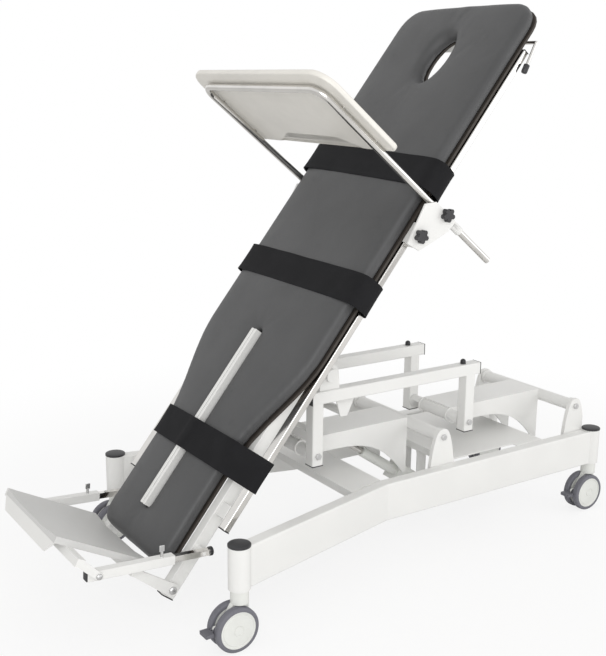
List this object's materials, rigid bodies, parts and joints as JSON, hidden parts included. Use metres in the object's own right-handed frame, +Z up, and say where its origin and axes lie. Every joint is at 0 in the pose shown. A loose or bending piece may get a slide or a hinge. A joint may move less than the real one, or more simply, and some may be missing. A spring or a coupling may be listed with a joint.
{
  "type": "physiotherapy tilt table",
  "caption": "Electric tilt table on twin casters with a parallelogram lift, padded top with face opening, straps, tray and adjustable footplate",
  "frame": {"origin": "on the floor midway between the four posts of the base", "axes": "+X towards the head end, +Y towards the far side, +Z up"},
  "size_m": [1.9598, 0.842, 1.6756],
  "materials": {
    "white_paint": "satin white powder coat",
    "plate_grey": "light grey powder coat",
    "chrome": "polished chrome plating",
    "steel": "zinc-plated fasteners",
    "black_plastic": "matt black plastic",
    "hub_white": "off-white moulded plastic",
    "tyre": "grey non-marking tread",
    "pedal_grey": "grey moulded plastic",
    "vinyl": "dark grey upholstery vinyl with a fine grain",
    "board": "dark plywood",
    "webbing": "black padded webbing",
    "tray_cream": "off-white moulded tray"
  },
  "bodies": {
    "base": {"base_rail_near": "white_paint", "base_rail_far": "white_paint", "base_posts": "white_paint", "post_caps": "black_plastic", "base_crossbeam": "white_paint", "base_deck": "white_paint", "pivot_ears": "white_paint", "ear_bolts": "steel", "control_box": "black_plastic"},
    "swivel_foot_near": {"caster_foot_near": "hub_white"},
    "wheel_foot_near": {"wheels_foot_near": "tyre"},
    "brake_foot_near": {"pedal_foot_near": "pedal_grey"},
    "swivel_foot_far": {"caster_foot_far": "hub_white"},
    "wheel_foot_far": {"wheels_foot_far": "tyre"},
    "brake_foot_far": {"pedal_foot_far": "pedal_grey"},
    "swivel_head_near": {"caster_head_near": "hub_white"},
    "wheel_head_near": {"wheels_head_near": "tyre"},
    "brake_head_near": {"pedal_head_near": "pedal_grey"},
    "swivel_head_far": {"caster_head_far": "hub_white"},
    "wheel_head_far": {"wheels_head_far": "tyre"},
    "brake_head_far": {"pedal_head_far": "pedal_grey"},
    "arm_foot": {"lift_arm_foot": "white_paint"},
    "arm_head": {"lift_arm_head": "white_paint"},
    "lift_motor": {"lift_motor": "hub_white"},
    "lift_rod": {"lift_rod": "chrome"},
    "carriage": {"carriage_frame_near": "white_paint", "carriage_frame_far": "white_paint", "carriage_crossbars": "white_paint", "carriage_plugs": "black_plastic", "carriage_bolts": "steel", "tilt_bearings": "white_paint"},
    "tilt_motor": {"tilt_motor": "hub_white"},
    "tilt_rod": {"tilt_rod": "chrome"},
    "table": {"side_tubes": "white_paint", "table_crossbars": "white_paint", "pivot_tube": "white_paint", "mattress_board": "board", "mattress": "vinyl", "leg_divider": "white_paint", "accessory_rails": "chrome", "rail_mounts": "white_paint", "rail_caps": "black_plastic", "strap_chest": "webbing", "strap_hip": "webbing", "strap_leg": "webbing"},
    "tray_carrier": {"tray_clamps": "white_paint"},
    "tray": {"tray_panel": "tray_cream", "tray_frame": "chrome"},
    "arm_knob_near": {"arm_knob_near": "black_plastic"},
    "arm_knob_far": {"arm_knob_far": "black_plastic"},
    "clamp_knob_near": {"clamp_knob_near": "black_plastic"},
    "clamp_knob_far": {"clamp_knob_far": "black_plastic"},
    "thumb_screw_near": {"thumb_screw_near": "steel"},
    "thumb_screw_far": {"thumb_screw_far": "steel"},
    "head_lever": {"head_lever": "chrome"},
    "foot": {"footplate": "plate_grey", "footplate_bracket": "white_paint"},
    "stay_sleeves": {"stay_sleeves": "white_paint"},
    "stay_tubes": {"stay_tubes": "chrome"}
  },
  "joints": [
    {"name": "swivel_foot_near", "type": "hinge", "parent": "base", "child": "swivel_foot_near", "pos_m": [-0.743, -0.39, 0.15], "axis": [0, 0, 1], "continuous": true},
    {"name": "roll_foot_near", "type": "hinge", "parent": "swivel_foot_near", "child": "wheel_foot_near", "pos_m": [-0.763, -0.39, 0.0625], "axis": [0, 1, 0], "continuous": true},
    {"name": "pedal_foot_near", "type": "hinge", "parent": "swivel_foot_near", "child": "brake_foot_near", "pos_m": [-0.81475, -0.39, 0.0705], "axis": [0, -1, 0], "range_deg": [0, 12]},
    {"name": "swivel_foot_far", "type": "hinge", "parent": "base", "child": "swivel_foot_far", "pos_m": [-0.743, 0.39, 0.15], "axis": [0, 0, 1], "continuous": true},
    {"name": "roll_foot_far", "type": "hinge", "parent": "swivel_foot_far", "child": "wheel_foot_far", "pos_m": [-0.763, 0.39, 0.0625], "axis": [0, 1, 0], "continuous": true},
    {"name": "pedal_foot_far", "type": "hinge", "parent": "swivel_foot_far", "child": "brake_foot_far", "pos_m": [-0.81475, 0.39, 0.0705], "axis": [0, -1, 0], "range_deg": [0, 12]},
    {"name": "swivel_head_near", "type": "hinge", "parent": "base", "child": "swivel_head_near", "pos_m": [0.743, -0.246, 0.15], "axis": [0, 0, 1], "continuous": true},
    {"name": "roll_head_near", "type": "hinge", "parent": "swivel_head_near", "child": "wheel_head_near", "pos_m": [0.723, -0.246, 0.0625], "axis": [0, 1, 0], "continuous": true},
    {"name": "pedal_head_near", "type": "hinge", "parent": "swivel_head_near", "child": "brake_head_near", "pos_m": [0.67125, -0.246, 0.0705], "axis": [0, -1, 0], "range_deg": [0, 12]},
    {"name": "swivel_head_far", "type": "hinge", "parent": "base", "child": "swivel_head_far", "pos_m": [0.743, 0.246, 0.15], "axis": [0, 0, 1], "continuous": true},
    {"name": "roll_head_far", "type": "hinge", "parent": "swivel_head_far", "child": "wheel_head_far", "pos_m": [0.723, 0.246, 0.0625], "axis": [0, 1, 0], "continuous": true},
    {"name": "pedal_head_far", "type": "hinge", "parent": "swivel_head_far", "child": "brake_head_far", "pos_m": [0.67125, 0.246, 0.0705], "axis": [0, -1, 0], "range_deg": [0, 12]},
    {"name": "lift", "type": "hinge", "parent": "base", "child": "arm_foot", "pos_m": [0.085, 0, 0.371], "axis": [0, 1, 0], "range_deg": [-6, 42]},
    {"name": "arm_head_swing", "type": "hinge", "parent": "base", "child": "arm_head", "pos_m": [0.679, 0, 0.371], "axis": [0, 1, 0], "range_deg": [-7, 43]},
    {"name": "carriage_level", "type": "hinge", "parent": "arm_foot", "child": "carriage", "pos_m": [-0.341, 0, 0.371], "axis": [0, 1, 0], "range_deg": [-43, 7]},
    {"name": "lift_motor_swing", "type": "hinge", "parent": "base", "child": "lift_motor", "pos_m": [0.16, 0, 0.133], "axis": [0, 1, 0], "range_deg": [-4, 22]},
    {"name": "lift_rod_swing", "type": "hinge", "parent": "arm_foot", "child": "lift_rod", "pos_m": [-0.16393, 0, 0.35359], "axis": [0, 1, 0], "range_deg": [-22, 4]},
    {"name": "tilt", "type": "hinge", "parent": "carriage", "child": "table", "pos_m": [-0.296, 0, 0.611], "axis": [0, -1, 0], "range_deg": [-51.2, 28.8]},
    {"name": "tilt_motor_swing", "type": "hinge", "parent": "carriage", "child": "tilt_motor", "pos_m": [-0.22558, 0, 0.47856], "axis": [0, -1, 0], "range_deg": [-26.6, 15.4]},
    {"name": "tilt_rod_swing", "type": "hinge", "parent": "table", "child": "tilt_rod", "pos_m": [-0.44075, 0, 0.57167], "axis": [0, -1, 0], "range_deg": [-15.4, 26.6]},
    {"name": "tray_height", "type": "slide", "parent": "table", "child": "tray_carrier", "axis": [0.6266, 0, 0.7793], "range_m": [-0.12, 0.003]},
    {"name": "tray_reach", "type": "slide", "parent": "tray_carrier", "child": "tray", "axis": [-0.7793, 0, 0.6266], "range_m": [-0.09, 0.12]},
    {"name": "arm_knob_near", "type": "hinge", "parent": "tray_carrier", "child": "arm_knob_near", "pos_m": [-0.03045, -0.334, 1.08012], "axis": [0, -1, 0], "range_deg": [0, 180]},
    {"name": "arm_knob_far", "type": "hinge", "parent": "tray_carrier", "child": "arm_knob_far", "pos_m": [-0.03045, 0.334, 1.08012], "axis": [0, 1, 0], "range_deg": [0, 180]},
    {"name": "clamp_knob_near", "type": "hinge", "parent": "tray_carrier", "child": "clamp_knob_near", "pos_m": [-0.12428, -0.334, 1.02725], "axis": [0, -1, 0], "range_deg": [0, 180]},
    {"name": "clamp_knob_far", "type": "hinge", "parent": "tray_carrier", "child": "clamp_knob_far", "pos_m": [-0.12428, 0.334, 1.02725], "axis": [0, 1, 0], "range_deg": [0, 180]},
    {"name": "foot_tilt", "type": "hinge", "parent": "table", "child": "foot", "pos_m": [-0.85568, 0, 0.11917], "axis": [0, 1, 0], "range_deg": [-12, 10]},
    {"name": "sleeve_swing", "type": "hinge", "parent": "foot", "child": "stay_sleeves", "pos_m": [-1.07528, 0, 0.23534], "axis": [0, 1, 0], "range_deg": [-4, 4]},
    {"name": "stay_swing", "type": "hinge", "parent": "table", "child": "stay_tubes", "pos_m": [-0.77517, 0, 0.21612], "axis": [0, 1, 0], "range_deg": [-13, 11]},
    {"name": "thumb_screw_near", "type": "hinge", "parent": "stay_sleeves", "child": "thumb_screw_near", "pos_m": [-0.89565, -0.25, 0.22383], "axis": [0.0639, 0, 0.998], "range_deg": [0, 170]},
    {"name": "thumb_screw_far", "type": "hinge", "parent": "stay_sleeves", "child": "thumb_screw_far", "pos_m": [-0.89565, 0.25, 0.22383], "axis": [0.0639, 0, 0.998], "range_deg": [0, 170]},
    {"name": "head_lever", "type": "hinge", "parent": "table", "child": "head_lever", "pos_m": [0.30477, -0.304, 1.5561], "axis": [0, 1, 0], "range_deg": [0, 35]}
  ],
  "couplings": [
    {"joint": "arm_head_swing", "follows": "lift", "ratio": 1},
    {"joint": "carriage_level", "follows": "lift", "ratio": -1},
    {"joint": "lift_motor_swing", "follows": "lift", "ratio": 0.5},
    {"joint": "lift_rod_swing", "follows": "lift", "ratio": -0.5},
    {"joint": "tilt_motor_swing", "follows": "tilt", "ratio": 0.5},
    {"joint": "tilt_rod_swing", "follows": "tilt", "ratio": -0.5},
    {"joint": "stay_swing", "follows": "foot_tilt", "ratio": 0.755},
    {"joint": "sleeve_swing", "follows": "foot_tilt", "ratio": -0.245}
  ]
}
